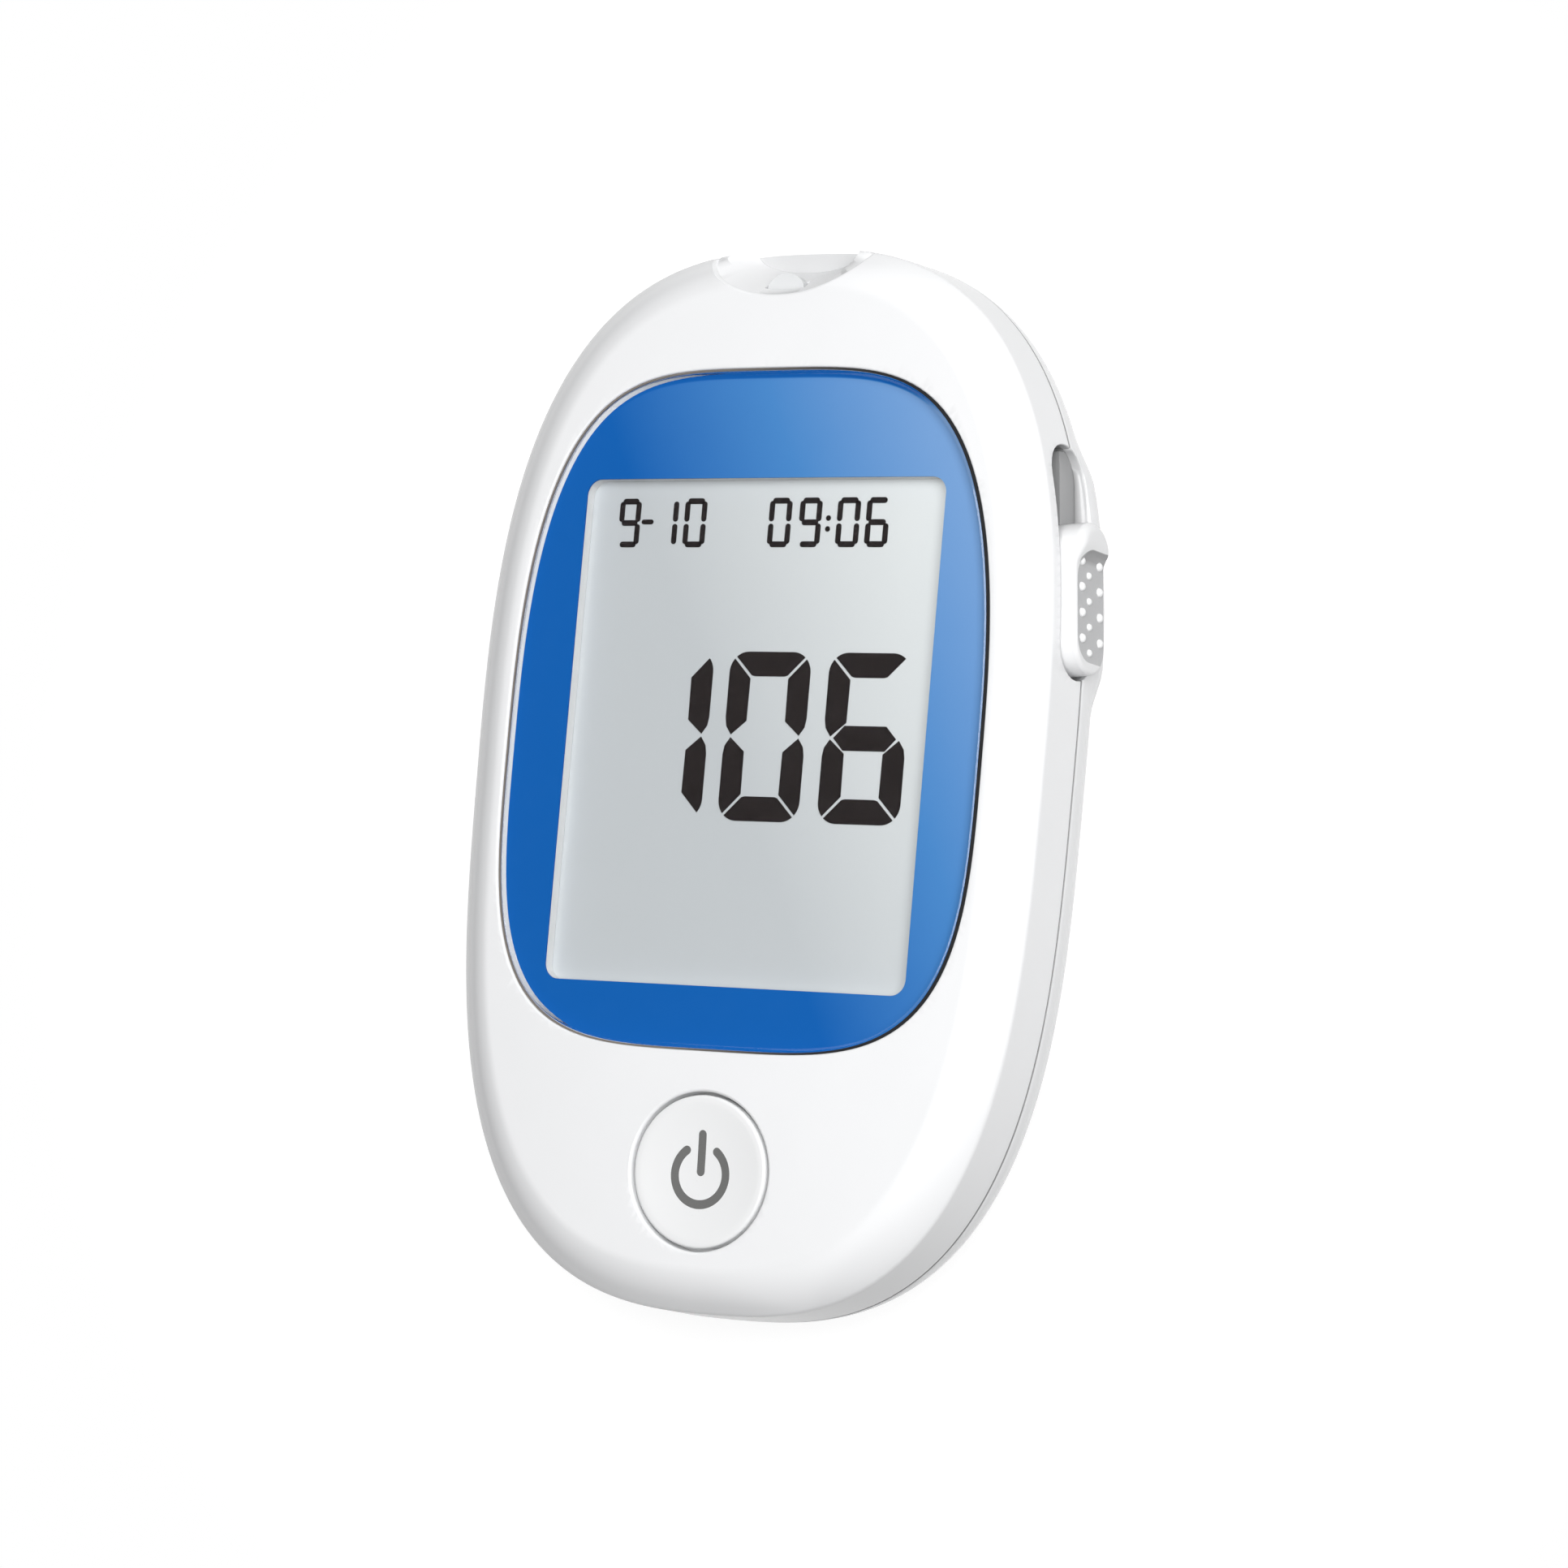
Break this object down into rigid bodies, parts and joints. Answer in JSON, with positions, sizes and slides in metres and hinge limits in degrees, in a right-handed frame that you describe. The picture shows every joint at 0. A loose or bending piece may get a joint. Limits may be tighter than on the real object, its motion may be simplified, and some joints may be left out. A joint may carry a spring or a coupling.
{
  "type": "blood meter",
  "caption": "Hand-held multi-function blood meter with an egg-shaped white case, a large display window, a round power button, a side strip-eject slider and an end strip port.",
  "frame": {"origin": "middle of the flat rear face, on the battery door's outer face, flush with the rear cover's flat rear face; midway between the case's ends and between its sides", "axes": "+Z out of the display face, +Y towards the strip port end, +X towards the eject slider's side"},
  "size_m": [0.0629, 0.1, 0.0208],
  "materials": {
    "white_shell": "satin-gloss white moulded plastic",
    "button_white": "satin-gloss white moulded plastic",
    "clear_lens": "clear glossy acrylic window",
    "blue_print": "blue print behind the window",
    "adhesive": "matt adhesive ring",
    "display_grey": "grey reflective display film",
    "display_glass": "thin clear sheet",
    "foil": "dull silver foil",
    "frame_white": "matt white plastic",
    "black_plastic": "matt black plastic",
    "board_green": "green circuit board",
    "rubber_strip": "soft grey rubber",
    "steel": "bright nickel-plated steel",
    "gold": "gold-plated contact",
    "cell_wrap": "plain dark wrapped cell",
    "port_grey": "light grey plastic",
    "rating_plate": "blank silver-grey plate"
  },
  "bodies": {
    "case": {"front_cover": "white_shell", "rear_cover": "white_shell", "display_lens": "clear_lens", "fascia_film": "blue_print", "lens_adhesive": "adhesive", "lcd_polarizer": "display_grey", "lcd_front_glass": "display_glass", "lcd_rear_glass": "display_glass", "lcd_reflector": "foil", "lcd_frame": "frame_white", "elastomer_strip_top": "rubber_strip", "elastomer_strip_bottom": "rubber_strip", "main_board": "board_green", "processor_chip": "black_plastic", "analog_chip": "black_plastic", "crystal_can": "steel", "buzzer": "black_plastic", "tact_switch": "black_plastic", "ejector_spring": "steel", "strip_port_insert": "port_grey", "strip_connector": "black_plastic", "strip_contact_1": "gold", "strip_contact_2": "gold", "strip_contact_3": "gold", "strip_contact_4": "gold", "strip_contact_5": "gold", "battery_cell_1": "cell_wrap", "battery_cell_2": "cell_wrap", "battery_spring_1": "steel", "battery_spring_2": "steel", "contact_bridge": "steel", "contact_positive": "steel", "contact_negative": "steel", "case_screw_1": "steel", "case_screw_2": "steel", "case_screw_3": "steel", "case_screw_4": "steel", "board_screw_1": "steel", "board_screw_2": "steel", "board_screw_3": "steel", "board_screw_4": "steel", "rating_plate": "rating_plate"},
    "button": {"power_button": "button_white", "switch_plunger": "black_plastic"},
    "ejector": {"eject_slider": "white_shell", "ejector_arm": "frame_white"},
    "door": {"battery_door": "white_shell"}
  },
  "joints": [
    {"name": "button_press", "type": "slide", "parent": "case", "child": "button", "axis": [0, 0, -1], "range_m": [0, 0.0005], "stiffness_N_per_m": 150, "springref_m": -0.001},
    {"name": "eject_slide", "type": "slide", "parent": "case", "child": "ejector", "axis": [-0.0941, 0.9956, 0], "range_m": [0, 0.0063], "stiffness_N_per_m": 60, "springref_m": -0.003, "deforming": ["ejector_spring"]},
    {"name": "door_slide", "type": "slide", "parent": "case", "child": "door", "axis": [0, -1, 0], "range_m": [0, 0.064]}
  ]
}
